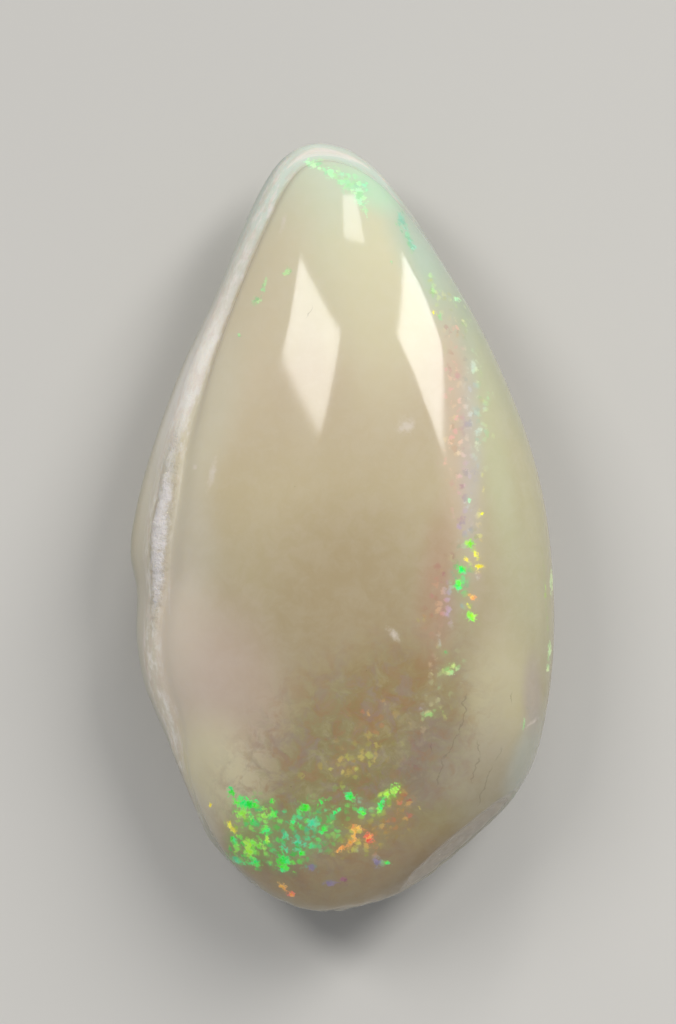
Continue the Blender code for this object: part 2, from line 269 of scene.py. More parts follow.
# Fire that shows only as a soft haze, in the same form
FRONT_HAZE = {
    "rose": (
        (6.07, 10.65, 0.44, 0.53, 0), (6.16, 8.84, 0.47, 0.71, 0), (6.8, 4.49, 0.2, 0.44, 0),
        (5.12, 3.49, 0.24, 0.34, 0), (6.34, 2.13, 0.4, 0.4, 0), (6.39, 0.54, 0.25, 0.15, 0),
    ),
    "blush": (
        (4.9, -2.63, 0.6, 0.45, 0), (4.71, -0.56, 0.21, 0.46, 0), (6.03, -1.56, 0.14, 0.23, 0),
        (5.25, -4.3, 0.35, 0.9, 0), (4.9, -7.4, 0.25, 0.6, 5),
    ),
    "lime": ((5.75, -7.5, 0.45, 0.22, 30), (4.8, -10.0, 0.42, 0.2, 20)),
    "peach": ((6.16, 6.39, 0.34, 0.62, 0), (6.25, 4.67, 0.47, 0.53, 0), (5.57, 3.44, 0.13, 0.25, 0)),
    "violet": (
        (7.02, 7.57, 0.25, 0.34, 0), (7.52, 6.53, 0.24, 0.15, 0), (6.75, 5.48, 0.2, 0.34, 0),
        (7.21, 2.85, 0.18, 0.34, 0), (6.51, -4.17, 0.15, 0.2, 0), (5.71, -4.67, 0.14, 0.21, 0),
        (5.67, -3.48, 0.14, 0.34, 0), (6.4, 0.17, 0.2, 0.17, 0), (7.36, -2.63, 0.29, 0.28, 0),
        (4.09, -9.62, 0.37, 0.2, 0), (1.91, -18.07, 0.26, 0.28, 0), (-1.66, -18.47, 0.25, 0.25, 0),
        (-0.66, -19.29, 0.29, 0.2, 0), (0.99, -14.73, 0.29, 0.21, 0),
    ),
    "ice": (
        (7.02, 8.79, 0.29, 0.29, 0), (7.16, 6.03, 0.15, 0.25, 0), (7.43, 5.3, 0.25, 0.2, 0),
        (6.93, 2.2, 0.2, 0.18, 0), (6.86, -0.14, 0.14, 0.17, 0), (5.21, -6.01, 0.12, 0.29, 15),
        (6.63, -8.0, 0.3, 0.28, 35), (1.56, -15.19, 0.17, 0.18, 0), (0.95, -17.38, 0.17, 0.14, 0),
        (5.82, -2.4, 0.12, 0.21, 0),
    ),
    "mint": (
        (-1.46, 19.83, 0.40, 0.22, -25), (-0.62, 19.3, 0.45, 0.24, -35), (0.29, 18.78, 0.45, 0.28, -30),
        (0.71, 18.36, 0.45, 0.34, -20), (1.02, 17.74, 0.24, 0.5, 15), (3.74, 15.15, 0.14, 0.2, -20),
        (5.53, 9.65, 0.12, 0.27, 0), (7.89, 7.02, 0.2, 0.38, 0),
    ),
    "teal": (
        (1.22, 18.6, 0.25, 0.46, 0), (3.15, 16.55, 0.25, 0.29, 0), (3.5, 15.71, 0.18, 0.4, 20),
        (-3.2, -15.46, 0.2, 0.14, 0), (-3.31, -14.67, 0.12, 0.11, 0),
    ),
    "pale_lime": (
        (7.43, 8.29, 0.2, 0.34, 0), (7.16, 4.4, 0.18, 0.53, 0), (6.57, 11.01, 0.22, 0.31, 0),
        (4.6, 13.37, 0.25, 0.31, 0), (-4.25, 13.2, 0.1, 0.33, -15), (-4.6, 12.26, 0.2, 0.2, 0),
        (-2.85, 13.97, 0.17, 0.2, 0), (-3.13, 13.69, 0.22, 0.17, 0), (-1.25, 13.9, 0.11, 0.2, 0),
        (5.78, -7.62, 0.57, 0.2, 30), (4.71, -10.0, 0.37, 0.18, 20), (9.8, -10.5, 0.06, 0.26, 0),
    ),
    "gold": (
        (7.6, 2.85, 0.16, 0.25, 0), (7.52, 1.68, 0.22, 0.44, 0), (7.6, 2.2, 0.15, 0.1, 0),
        (7.5, 6.95, 0.13, 0.13, 0), (3.0, 8.5, 0.38, 0.07, -5),
    ),
    "plum": ((4.98, -7.31, 0.18, 0.6, 5), (0.1, -19.09, 0.26, 0.32, 0)),
    "rust": (
        (3.17, -14.65, 0.51, 0.43, 0), (3.1, -15.65, 0.37, 0.14, -8), (2.48, -16.34, 0.37, 0.18, 0),
        (1.79, -17.4, 0.14, 0.21, 0), (3.3, -14.5, 0.4, 0.5, -20), (2.9, -15.6, 0.5, 0.3, 0),
    ),
    "olive": (
        (1.52, -15.99, 0.46, 0.18, 5), (3.17, -15.84, 0.48, 0.2, -10), (-0.51, -18.72, 0.38, 0.12, 20),
        (0.1, -17.68, 0.23, 0.14, 20), (1.33, -17.66, 0.18, 0.17, 0), (-0.66, -16.8, 0.34, 0.15, 15),
        (5.63, -9.92, 0.46, 0.32, 0), (4.4, -4.86, 0.45, 0.35, 0),
    ),
    "slate": ((9.72, -14.14, 0.46, 0.69, -20), (10.11, -9.47, 0.18, 0.84, 0)),
    "moss": (
        (5.48, -6.7, 0.29, 0.17, 0), (9.34, -14.68, 0.21, 0.21, 0), (-2.54, -18.76, 0.21, 0.17, 0),
        (-3.73, -18.26, 0.14, 0.18, 0),
    ),
}

# Wide veils in which only single cells of fire are lit, in the same form
FRONT_VEILS = {
    "rose": ((6.0, 8.0, 0.8, 5.0, 3),),
    "blush": ((5.2, -3.6, 0.9, 4.6, -8),),
    "peach": ((6.2, 4.0, 0.9, 3.4, 0),),
    "ice": ((7.05, 5.6, 0.6, 4.4, 3),),
    "violet": ((6.7, 1.0, 0.6, 5.0, 0), (5.9, -3.9, 0.5, 1.6, 0)),
    "pale_lime": ((7.7, 6.0, 0.7, 5.0, 10), (5.6, -7.8, 1.0, 2.6, -20), (5.2, 13.0, 0.8, 3.0, 35)),
    "gold": ((7.4, -1.2, 0.5, 3.0, 0), (-0.2, -13.0, 2.6, 0.9, 10), (0.9, -16.6, 1.5, 1.1, 20)),
    "rust": ((1.6, -9.8, 2.2, 1.7, 30), (3.0, -15.3, 1.4, 1.3, 0)),
    "plum": ((4.2, -11.9, 0.8, 2.4, -15),),
    "olive": ((1.2, -12.2, 3.6, 1.4, 20), (1.4, -16.6, 2.0, 1.6, 0)),
    "mint": ((0.4, 19.2, 1.9, 0.5, -35),),
    "moss": (
        (-4.9, -16.4, 1.4, 2.0, -10), (-3.2, -17.2, 1.8, 1.5, 0), (-2.0, -15.8, 2.0, 1.3, 5),
        (-0.7, -16.2, 1.1, 1.1, 0), (6.4, -2.8, 0.5, 1.6, 5), (-5.8, -17.4, 0.6, 1.1, 0),
    ),
    "teal": ((-2.2, -16.8, 2.2, 1.4, 10),),
    "lime": ((2.3, -14.6, 1.3, 0.6, 45), (-5.0, -17.2, 1.2, 1.2, 0), (11.0, -3.6, 0.14, 3.4, 4)),
}

# How far the spots of each list reach, in parts of their size, and how strongly they glow
FLECK_REACH, FLECK_GLOW = 1.9, 0.34
HAZE_REACH, HAZE_GLOW = 1.1, 0.50
VEIL_REACH, VEIL_GLOW = 0.9, 0.44
LEAST_GLOW = 1e-6          # avoids a division by nothing

# Chalky scuffs on the polish, in the same form
SCUFFS = (
    (-3.2, 16.5, 0.22, 0.9, -15), (-4.88, 15.64, 0.3, 1.0, -20), (-7.0, 3.0, 0.3, 1.5, -12),
    (-8.8, 6.15, 0.25, 0.9, -15), (-7.95, 3.3, 0.2, 0.3, -30), (2.8, -5.7, 0.35, 0.8, 45),
    (-9.35, -3.4, 0.12, 1.8, 0), (3.45, 5.5, 0.8, 0.7, 0), (10.3, -10.5, 0.7, 0.16, 35),
    (-9.0, -9.9, 0.2, 0.6, 15),
)

# Guessed fire on the back: hue, place, half length, half width, turn, number of flecks
BACK_FIRE = (
    ("green", 2.6, -9.0, 2.6, 1.5, 20, 14), ("lime", 1.2, -10.6, 1.8, 1.1, 0, 9),
    ("amber", 4.4, -11.6, 1.2, 0.8, 0, 5), ("teal", -3.6, 10.5, 1.0, 2.4, -15, 9),
    ("lime", -2.4, 14.2, 0.7, 1.6, -15, 5),
)
FLECK_SEED = 7
FLECK_SIZES = (0.15, 0.45)       # half lengths and half widths
FLECK_TURN = 40.0                # most degrees either way

# Fine cracks, each from its upper to its lower end
CRACKS = (
    ((6.73, -8.8), (6.35, -11.1)), ((6.35, -11.0), (5.43, -12.5)), ((5.43, -12.4), (5.24, -13.9)),
    ((7.35, -11.4), (7.42, -12.3)), ((7.42, -12.3), (6.9, -13.8)), ((8.57, -11.8), (8.19, -12.6)),
    ((9.19, -8.8), (9.11, -9.5)), ((8.05, -12.8), (7.35, -15.1)), ((4.8, -11.5), (4.95, -12.1)),
    ((-1.6, 12.0), (-2.0, 11.3)),
)
# A crack at its real width is too fine to show, so it is drawn about a pixel wide
CRACK_SIDES = (0.054, 0.009)     # away from its middle, where it starts and where it is full
CRACK_PAST = 0.1                 # it starts this far past its ends
CRACK_TAPER = 0.3                # and is full this far inside them
CRACK_DEPTH = 0.003
CRACK_SHARE = 0.3
WANDER_SIZE = 0.62               # length of a crack's bends
WANDER_WIDTH = 0.9               # and how wide they could be at most

# Size of each pattern in the stone, in millimetres, as the photograph shows it
MOTTLE_SIZE = 1.0                # clouds in the belly
FROST_SIZE = (0.53, 1.1, 1.0)    # frosting of the margin: across it, then along it
CELL_SIZE = 0.37                 # single grains of fire
DRIFT_SIZE = 0.42                # swirls that push the grains about
DRIFT_WIDTH = 0.7                # and how far at most
TORN_SIZE = 0.18                 # ragged edge of a fleck
BRUISE_SIZE = 0.36               # chips on the crest and the broken faces
UNEVEN_SIZE = 1.25               # longer gaps in the white of the crest
SCUFF_SIZE = 0.33                # broken edge of a scuff
DOT_SIZE = 0.45                  # room that each spark or speck has

# How each finish comes in: where it starts and is full, and if need be how much of it there is
# at either one. By the value of a pattern:
MOTTLE_SHOWS = (0.47, 0.62, 0.0, 0.6)
PALE_SHOWS = (0.5, 0.34, 0.0, 0.3)
CLOUD_SHOWS = (0.35, 0.7, 0.0, 0.08)
FROST_PATCHES = (0.45, 0.62)
FROST_COATS = (0.85, 0.35)       # the most of the white, then of the rose
CREST_GAPS = (0.3, 0.55, 0.55, 1.0)
CREST_SHOWS = (0.14, 0.38, 0.0, 0.95)
BREAK_SHOWS = (0.35, 0.6, 0.45, 0.9)

# By how far round from the widest line the surface has risen, in radians:
FRONT_SHOWS = (-0.05, 0.12)
# Where the grey-blue painted round the widest line shows
PAINTED_RIM_TOP, PAINTED_RIM_BOTTOM = (0.30, 0.05, 0.0, 0.55), (-0.7, -0.3)

# By the place along the clam:
KEPT_OFF = (4.0, 11.0, 0.4, 0.0)     # how far the paleness keeps off the groove
# How far along the clam the painted shade in the groove shows
GROOVE_SHADE_SHOWS = (4.0, 11.0, 0.0, 0.3)
CREST_FADES = (5.0, 0.0, 0.4, 1.0)

# By the distance past the seam, which is below nothing on the margin:
# Where the painted shade in the groove comes in and fades out
GROOVE_SHADE_NEAR, GROOVE_SHADE_FAR = (0.05, 0.25), (1.1, 0.3)
MARGIN_SHOWS, MARGIN_ENDS = (0.1, -0.35, 0.0, 0.85), (-6.0, -3.0)
FROST_SHOWS, FROST_ENDS = (1.25, 0.55), (-3.0, -1.6)
LIP_SHOWS, LIP_ENDS = (-0.2, -0.8), (-3.2, -2.2)
WORN_SHOWS = (0.3, -0.3, 0.0, 0.28)

# By how thick the glow is, how lit a cell is and how far from its middle:
GLOW_SHOWS = (0.02, 0.3)
HAZE_SHOWS = (0.6, 1.6, 0.0, 0.2)
CELL_SHOWS = (0.25, 0.85, 0.35, 0.85)
CELL_LIT, CELL_ROUND = (0.88, 1.15), (0.65, 0.25)

# By how far inside a fleck or a scuff it is, and for the painted glints and the specks by the
# distance from their middle and by chance:
FLECK_SHOWS, FLECK_SHARE = (0.85, 1.5), 0.95
SCUFF_SHOWS = (1.15, 2.0, 0.0, 0.65)
PAINTED_GLINT_ROUND, PAINTED_GLINT_SHOWS = (0.15, 0.07), (1.1, 1.15)
SPECK_ROUND, SPECK_SHOWS = (0.12, 0.06), (0.994, 0.996, 0.0, 0.7)

# How ragged a finish is: how much of a pattern is added to the value that it follows
FROST_RAGGED = 1.6
HAZE_RAGGED = 0.9
CELL_RAGGED = 0.8
FLECK_TORN, FLECK_NIBBLED = 2.4, -0.35
SCUFF_RAGGED = 1.6

# How far single cells stray in hue and brightness, by chance, and how rich their colour is
HAZE_HUES, FLECK_HUES = (0.0, 1.0, 0.465, 0.535), (0.0, 1.0, 0.48, 0.52)
HAZE_VALUES, FLECK_VALUES = (0.0, 1.0, 0.9, 1.3), (0.0, 1.0, 0.85, 1.1)
HAZE_RICHNESS, FLECK_RICHNESS = 0.95, (1.2, 2.1, 0.9, 1.04)

# How rugged the lip and the broken faces are, next to the crest, and how much that adds painted glints
LIP_GLINTS, BREAK_GLINTS, ROUGH_GLINTS = 0.5, 0.7, 0.45

HALF_LENGTH = 21.0         # half the length that the colours along the clam run over
OVAL_REACH = 1.6           # a soft patch has faded out at this many times its size
OVAL_FULL = 0.75           # and is full from this share of its fade on
SCUFF_REACH = 0.8          # a scuff fades over this many times its size

# How rough the polish is, and how much the crest and a broken face add to it
POLISHED = 0.08
CREST_ROUGH, BREAK_ROUGH = 0.35, 0.25

# Depth of the chips on the crest and on the ground margin
CHIP_DEPTHS = (0.05, 0.6, 0.0, 0.2)
WORN_DEPTH = 0.12

# How milky the stone is, less so in a fleck and on the crest, how far light soaks in, with the
# shares for red, green and blue, and the strength of the glow painted into a fleck
MILKY = (0.0, 1.0, 0.45, 0.1)
SOAK_DEPTH = 1.2
SOAK_COLOURS = (1.0, 0.86, 0.62)
FIRE_PAINTED_GLOW = 0.18
OPAL_IOR = 1.45

# The board under the clam, which reaches this far to each side, and the clouds in its paint
BOARD_HALF = 1500.0
BOARD_CLOUDS = 33.0
BOARD_DARK = "#CBC9C4"
BOARD_PALE = "#D1CFCA"
BOARD_ROUGH, BOARD_SHINE = 0.9, 0.2

# Settings that many nodes share
TIMES = {"operation": "MULTIPLY"}
TIMES_PLUS = {"operation": "MULTIPLY_ADD"}
SMOOTH = {"interpolation_type": "SMOOTHSTEP"}
COLOURS = {"data_type": "RGBA"}


def linear(code):
    """Linear colour for an sRGB hex code."""
    values = [int(code[index:index + 2], 16) / 255 for index in (1, 3, 5)]
    return tuple(v / 12.92 if v <= 0.04045 else ((v + 0.055) / 1.055) ** 2.4 for v in values) + (1.0,)


def closed_curve(points, steps):
    """Smooth closed curve through points, with a number of steps in each stretch."""
    count = len(points)
    rows = []
    for index in range(count):
        before, start, end, after = (points[(index + shift) % count] for shift in (-1, 0, 1, 2))
        for step in range(steps):
            t = step / steps
            rows.append(0.5 * (2 * start + (end - before) * t
                               + (2 * before - 5 * start + 4 * end - after) * t ** 2
                               + (3 * start - before - 3 * end + after) * t ** 3))
    return np.array(rows)


def slow_waves(values, waves):
    """Values given once round the outline, with only their slow waves kept."""
    spectrum = np.fft.rfft(values)
    fade = np.exp(-(np.arange(len(spectrum)) / waves) ** 2)
    return np.fft.irfft(spectrum * fade, len(values))


def outline_tables():
    """Radius of the edge, the same with slow waves only, and rise of the seam, by angle."""
    curve = closed_curve(np.array(EDGE), CURVE_STEPS)
    angle = np.arctan2(curve[:, 1] - MIDDLE[1], curve[:, 0] - MIDDLE[0]) % math.tau
    order = np.argsort(angle)
    radius = np.hypot(curve[:, 0] - MIDDLE[0], curve[:, 1] - MIDDLE[1])
    turn = np.arange(TURN_STEPS) * math.tau / TURN_STEPS
    radius = np.interp(turn, angle[order], radius[order], period=math.tau)
    height = np.interp(turn, angle[order], curve[order, 2], period=math.tau)
    lift = slow_waves(height, EDGE_WAVES) / FRONT_HEIGHT
    seam = np.arctan2(lift, (1 - np.abs(lift) ** FULLNESS) ** (1 / FULLNESS))
    return slow_waves(radius, EDGE_WAVES), slow_waves(radius, BODY_WAVES), seam


def at_angle(table, angle):
    """Value of a table for each angle."""
    turn = np.arange(TURN_STEPS) * math.tau / TURN_STEPS
    return np.interp(angle, turn, table, period=math.tau)


def bell(distance, reach):
    """Smooth bump: one at no distance and near nothing past twice the reach."""
    return np.exp(-(distance / reach) ** 2)


def rising(value, start, full):
    """Share that goes evenly from nothing at the start to one where it is full."""
    return np.clip((value - start) / (full - start), 0, 1)


def surface_rise(latitude, seam):
    """How far round from the widest line the surface has risen."""
    top = math.pi / 2
    above = np.clip(latitude / top, 0, 1) ** SEAM_CROWDING
    below = np.clip(latitude / FLAT_RISE, 0, 1) ** SEAM_CROWDING
    rise = np.where(latitude > 0, seam + (top - seam) * above, seam + (FLAT_RISE - seam) * below)
    return np.where(latitude < FLAT_RISE, latitude, rise)


def smooth_shells(rise, angle, edge, body):
    """Points of both shells without their relief."""
    front = rise > 0
    across = np.cos(rise)
    up = np.sin(rise)
    full = np.where(front, (across ** FULLNESS + np.abs(up) ** FULLNESS) ** (-1 / FULLNESS), 1.0)
    across = across * full
    up = up * full
    radius = across * (edge * across ** 3 + body * (1 - across ** 3))
    crown = up ** 2
    height = np.where(front, FRONT_HEIGHT, BACK_HEIGHT) * up
    return np.stack((
        MIDDLE[0] + radius * np.cos(angle) + crown * np.where(front, FRONT_SHIFT[0], BACK_SHIFT[0]),
        MIDDLE[1] + radius * np.sin(angle) + crown * np.where(front, FRONT_SHIFT[1], BACK_SHIFT[1]),
        np.maximum(height, -REST_DEPTH)), axis=1)


def crest_share(past, angle, along):
    """One on the rough crest of the margin and nothing away from it."""
    left = np.clip(-2 * np.cos(angle), 0, 1)
    return left * bell(along - CREST_MIDDLE, CREST_LENGTH) * bell(past - CREST_PLACE, CREST_REACH)


def relief(past, seam, angle, edge):
    """Groove, swollen margin and crest, as heights above the smooth surface."""
    height = FRONT_HEIGHT * np.sin(seam) / FUSED_HEIGHT
    shown = np.clip(height, 0, 1)
    hidden = np.clip(-height, 0, 1)
    along = edge * np.sin(angle) + MIDDLE[1]
    firm = rising(along, *SOFT_SPAN)
    depth = SOFT_DEPTH + (GROOVE_DEPTH - SOFT_DEPTH) * firm
    reach = SOFT_REACH + (GROOVE_REACH - SOFT_REACH) * firm
    move = SWELL_HEIGHT * shown * bell(past - SWELL_PLACE, SWELL_REACH)
    move += CREST_HEIGHT * crest_share(past, angle, along)
    return move - (depth * shown + HIDDEN_GROOVE * hidden) * bell(past, reach)


def grain(points, share, size, height, shift):
    """Smooth random relief up to a height above and below, where the share isn't nothing."""
    values = np.zeros(len(points))
    offset = Vector((shift, -shift, 2 * shift))
    for index in np.nonzero(np.abs(share) > LEAST_GRAIN)[0]:
        values[index] = noise.noise(Vector(points[index]) / size + offset)
    return values * share * height


def fine_relief(points, past, rough):
    """Polish, chips, growth lines and crinkled rim, as heights above the solid's surface."""
    margin = rising(past, *MARGIN_NEAR) * rising(past, *MARGIN_FAR)
    low = rising(points[:, 1], *RIM_FOOT) * rising(np.abs(points[:, 2]), *RIM_LEVEL)
    move = grain(points, np.ones(len(points)), *POLISH)
    move += grain(points, rough, *CREST_CHIPS)
    move += grain(points, rough, *CREST_GRAIN)
    move += grain(points, low, *RIM_CRINKLE)
    move += grain(points * LIP_STRETCH, margin, *LIP_CRINKLE)
    waver = grain(points, margin, *GROWTH_WAVER)
    return move + GROWTH_HEIGHT * margin * np.sin(math.tau * past / GROWTH_SPACING + waver)


def strike_flakes(points):
    """Cut the rim back to each broken face, with faint ripples spreading over it. The second
    value is one on the broken faces."""
    broken = np.zeros(len(points))
    for place, facing, ripple in FLAKES:
        normal = np.array(facing) / np.linalg.norm(facing)
        over = np.maximum((points - np.array(place)) @ normal, 0)
        distance = np.linalg.norm(points - points[np.argmax(over)], axis=1)
        wave = RIPPLE_DEPTH * (1 + np.cos(math.tau * distance / ripple)) / 2
        points = points - (over + np.minimum(over, wave))[:, None] * normal
        broken = np.maximum(broken, rising(over, 0, BREAK_EDGE))
    return points, broken


def clam_points(directions):
    """Points of the clam for directions from the middle of a sphere, and for each of them
    its distance past the seam, its rise, and how far it is on the crest or a broken face."""
    angle = np.arctan2(directions[:, 1], directions[:, 0]) % math.tau
    level = (np.arcsin(np.clip(directions[:, 2], -1, 1)) / math.pi + 0.5) * LEVELS
    latitude = np.interp(level, (0, BACK_START, FRONT_START, LEVELS),
                         (-math.pi / 2, FLAT_RISE, 0, math.pi / 2))
    edge, body, seam = (at_angle(table, angle) for table in outline_tables())
    rise = surface_rise(latitude, seam)
    past = (rise - seam) * np.minimum(edge, LEVER)
    crest = crest_share(past, angle, edge * np.sin(angle) + MIDDLE[1])
    rough = np.clip(CREST_SPREAD * crest, 0, 1)
    outward = np.stack((
        np.cos(rise) * np.cos(angle), np.cos(rise) * np.sin(angle), np.sin(rise)), axis=1)
    points = smooth_shells(rise, angle, edge, body)
    move = relief(past, seam, angle, edge) + fine_relief(points, past, rough)
    # The worn flat and its rim stay smooth
    move[level < BACK_START + 0.5] = 0
    points, broken = strike_flakes(points + move[:, None] * outward)
    return points, past, rise, rough, broken


def into_box(points, box):
    """Points in metres, moved to fill the solid's box exactly."""
    low, high = points.min(axis=0), points.max(axis=0)
    goal_low, goal_high = np.array(box[0]), np.array(box[1])
    return goal_low + (points - low) / (high - low) * (goal_high - goal_low)


def oval_distance(points, spot):
    """Distance of points from a spot's middle, seen from above: one at its rim."""
    x, y, half_length, half_width, turn = spot
    turn = math.radians(turn)
    along = (points[:, 0] - x) * math.cos(turn) + (points[:, 1] - y) * math.sin(turn)
    across = (points[:, 1] - y) * math.cos(turn) - (points[:, 0] - x) * math.sin(turn)
    return np.hypot(along / half_length, across / half_width)


def fire_fields(points, flecks, haze, veils):
    """Fire at each point: how far it is inside the nearest fleck (one in its middle, nothing
    at its rim), the fleck's colour, how thick the glow is, and the glow's colour."""
    inside = np.full(len(points), -1.0)
    fleck_colour = np.zeros((len(points), 4))
    glow = np.zeros(len(points))
    glow_colour = np.zeros((len(points), 4))
    for spots, reach, strength in ((flecks, FLECK_REACH, FLECK_GLOW), (haze, HAZE_REACH, HAZE_GLOW),
                                   (veils, VEIL_REACH, VEIL_GLOW)):
        for hue, ovals in spots.items():
            colour = np.array(linear(HUES[hue]))
            for spot in ovals:
                distance = oval_distance(points, spot)
                share = strength * bell(distance, reach)
                glow += share
                glow_colour += share[:, None] * colour
                nearer = (1 - distance > inside) & (spots is flecks)
                inside[nearer] = 1 - distance[nearer]
                fleck_colour[nearer] = colour
    glow_colour /= np.maximum(glow, LEAST_GLOW)[:, None]
    return inside, fleck_colour, np.clip(glow, 0, 1), glow_colour


def scattered_flecks(zones):
    """Flecks strewn at random over oval zones."""
    chance = np.random.default_rng(FLECK_SEED)
    flecks = {}
    for hue, x, y, half_length, half_width, turn, count in zones:
        turn = math.radians(turn)
        for _ in range(count):
            away, way = math.sqrt(chance.random()), math.tau * chance.random()
            along, across = half_length * away * math.cos(way), half_width * away * math.sin(way)
            length, width = chance.uniform(*FLECK_SIZES, size=2)
            spot = (x + along * math.cos(turn) - across * math.sin(turn),
                    y + along * math.sin(turn) + across * math.cos(turn),
                    length, width, chance.uniform(-FLECK_TURN, FLECK_TURN))
            flecks.setdefault(hue, []).append(spot)
    return flecks


def connect(tree, node, sockets):
    """Give a node's sockets their values or links, in order or by name. A node given for a
    socket is linked by the first of its outputs that is in use."""
    in_use = [socket for socket in node.inputs if socket.enabled]
    for key, value in sockets.items() if isinstance(sockets, dict) else enumerate(sockets):
        socket = node.inputs[key] if isinstance(key, str) else in_use[key]
        if isinstance(value, bpy.types.Node):
            value = next(output for output in value.outputs if output.enabled)
        if isinstance(value, bpy.types.NodeSocket):
            tree.links.new(value, socket)
        else:
            socket.default_value = value


def add(tree, kind, sockets=(), stops=(), **settings):
    """Add a node with its settings, its sockets' values or links, and its ramp's stops."""
    node = tree.nodes.new("ShaderNode" + kind)
    for name, value in settings.items():
        setattr(node, name, value)
    for index, (position, code) in enumerate(stops):
        colours = node.color_ramp.elements
        stop = colours[index] if index < 2 else colours.new(position)
        stop.position = position
        stop.color = linear(code)
    connect(tree, node, sockets)
    return node


def share_of(tree, *shares):
    """Shares taken together. Each is a value alone, or a value with the start and end between
    which its share rises smoothly, and then if need be the least and the most of it."""
    together = None
    for value, *reach in shares:
        if reach:
            value = add(tree, "MapRange", (value, *reach), **SMOOTH)
        together = value if together is None else add(tree, "Math", (together, value), **TIMES)
    return together


def paint(tree, below, colour, *shares):
    """Lay a colour over what is below it, as much as the shares together say."""
    if isinstance(colour, str):
        colour = linear(colour)
    return add(tree, "Mix", (share_of(tree, *shares), below, colour), **COLOURS)


def soft_oval(tree, flat_place, spot, share):
    """A share that fades out from the middle of an oval."""
    x, y, half_length, half_width, turn = spot
    oval = add(tree, "Mapping", {
        "Vector": flat_place, "Location": (x, y, 0), "Rotation": (0, 0, math.radians(turn)),
        "Scale": (half_length * OVAL_REACH, half_width * OVAL_REACH, 1)}, vector_type="TEXTURE")
    fade = add(tree, "TexGradient", (oval,), gradient_type="SPHERICAL").outputs["Fac"]
    return add(tree, "MapRange", (fade, 0.0, OVAL_FULL, 0.0, share), **SMOOTH)


def body_colour(tree, place, flat_place, length_share, front):
    """Milky colour along the clam, front and back, with soft patches and mottling."""
    colour = add(tree, "ValToRGB", (length_share,), BODY_STOPS)
    behind = add(tree, "Math", (1.0, front), operation="SUBTRACT")
    for patches, side in ((FRONT_PATCHES, front), (BACK_PATCHES, behind)):
        for *spot, code, share in patches:
            colour = paint(tree, colour, code, (soft_oval(tree, flat_place, spot, share),), (side,))
    belly = soft_oval(tree, flat_place, MOTTLE_PLACE, 1.0)
    mottle = add(tree, "TexNoise", {
        "Vector": place, "Scale": 1 / MOTTLE_SIZE, "Detail": 8.0, "Roughness": 0.68, "Distortion": 0.4})
    red, green, blue = add(tree, "SeparateColor", (mottle.outputs["Color"],)).outputs
    for value, code in ((red, MOTTLE_OLIVE), (green, MOTTLE_RUST), (blue, MOTTLE_MAUVE)):
        colour = paint(tree, colour, code, (value, *MOTTLE_SHOWS), (belly,))
    colour = paint(tree, colour, MOTTLE_PALE, (green, *PALE_SHOWS), (belly,))
    return paint(tree, colour, LIP_WHITE, (red, *CLOUD_SHOWS))


def margin_colour(tree, below, past, along, length_share, rise):
    """Back shell's margin beyond the groove: paler and greyer, with a frosted lip, a grey-blue
    rim painted round the widest line for light seen through the stone's edge, and a tan painted shade
    darkening the groove."""
    # Below the middle the paleness keeps away from the worn groove
    kept_off = add(tree, "MapRange", (along, *KEPT_OFF), **SMOOTH)
    beyond = add(tree, "Math", (kept_off, past))
    pale = add(tree, "ValToRGB", (length_share,), MARGIN_STOPS)
    colour = paint(tree, below, pale, (beyond, *MARGIN_SHOWS), (past, *MARGIN_ENDS))
    frost_place = add(tree, "CombineXYZ", (past, along))
    frost_place = add(tree, "VectorMath", (frost_place, FROST_SIZE), operation="DIVIDE")
    frost = add(tree, "TexNoise", {
        "Vector": frost_place, "Scale": 1.0, "Detail": 7.0, "Roughness": 0.72})
    red, green, blue = add(tree, "SeparateColor", (frost.outputs["Color"],)).outputs
    frosting = add(tree, "Math", (green, FROST_RAGGED, beyond), **TIMES_PLUS)
    for value, code, most in zip((red, blue), (LIP_WHITE, LIP_ROSE), FROST_COATS):
        colour = paint(tree, colour, code, (value, *FROST_PATCHES, 0.0, most),
                       (frosting, *FROST_SHOWS), (past, *FROST_ENDS))
    # Painted shade: tan darkening along the groove
    colour = paint(tree, colour, GROOVE_PAINTED_SHADE, (past, *GROOVE_SHADE_NEAR), (past, *GROOVE_SHADE_FAR),
                   (along, *GROOVE_SHADE_SHOWS))
    # Painted light: grey-blue round the widest line, in place of light seen through the stone's edge
    return paint(tree, colour, RIM_PAINTED_EDGE_LIGHT, (rise, *PAINTED_RIM_TOP), (rise, *PAINTED_RIM_BOTTOM))


